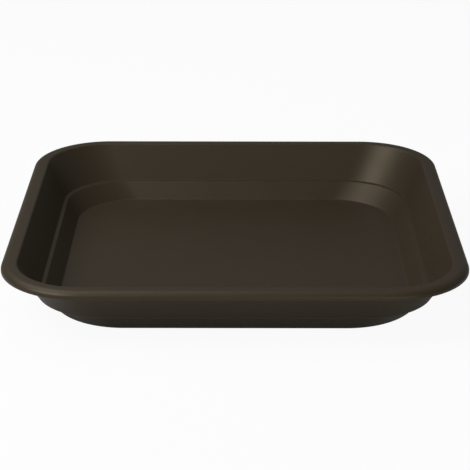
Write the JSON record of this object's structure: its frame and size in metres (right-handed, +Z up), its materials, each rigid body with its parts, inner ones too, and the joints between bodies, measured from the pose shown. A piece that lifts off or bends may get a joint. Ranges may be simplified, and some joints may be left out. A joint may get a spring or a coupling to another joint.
{
  "type": "square plant saucer",
  "caption": "Shallow square saucer with rounded corners, a rolled rim and a stepped sloping wall, which stands under a plant pot and holds the water that drains from it.",
  "frame": {"origin": "middle of the flat underside, on the surface that the saucer stands on", "axes": "+Z up through the open top, +X and +Y along the two pairs of straight sides"},
  "size_m": [0.4, 0.4, 0.0524],
  "materials": {
    "brown_plastic": "satin moulded plastic, dark brown"
  },
  "bodies": {
    "root": {"floor_panel": "brown_plastic", "heel": "brown_plastic", "lower_wall": "brown_plastic", "step_ledge": "brown_plastic", "upper_wall": "brown_plastic", "rim_shoulder": "brown_plastic", "rim_top": "brown_plastic", "rim_lip": "brown_plastic"}
  },
  "joints": []
}
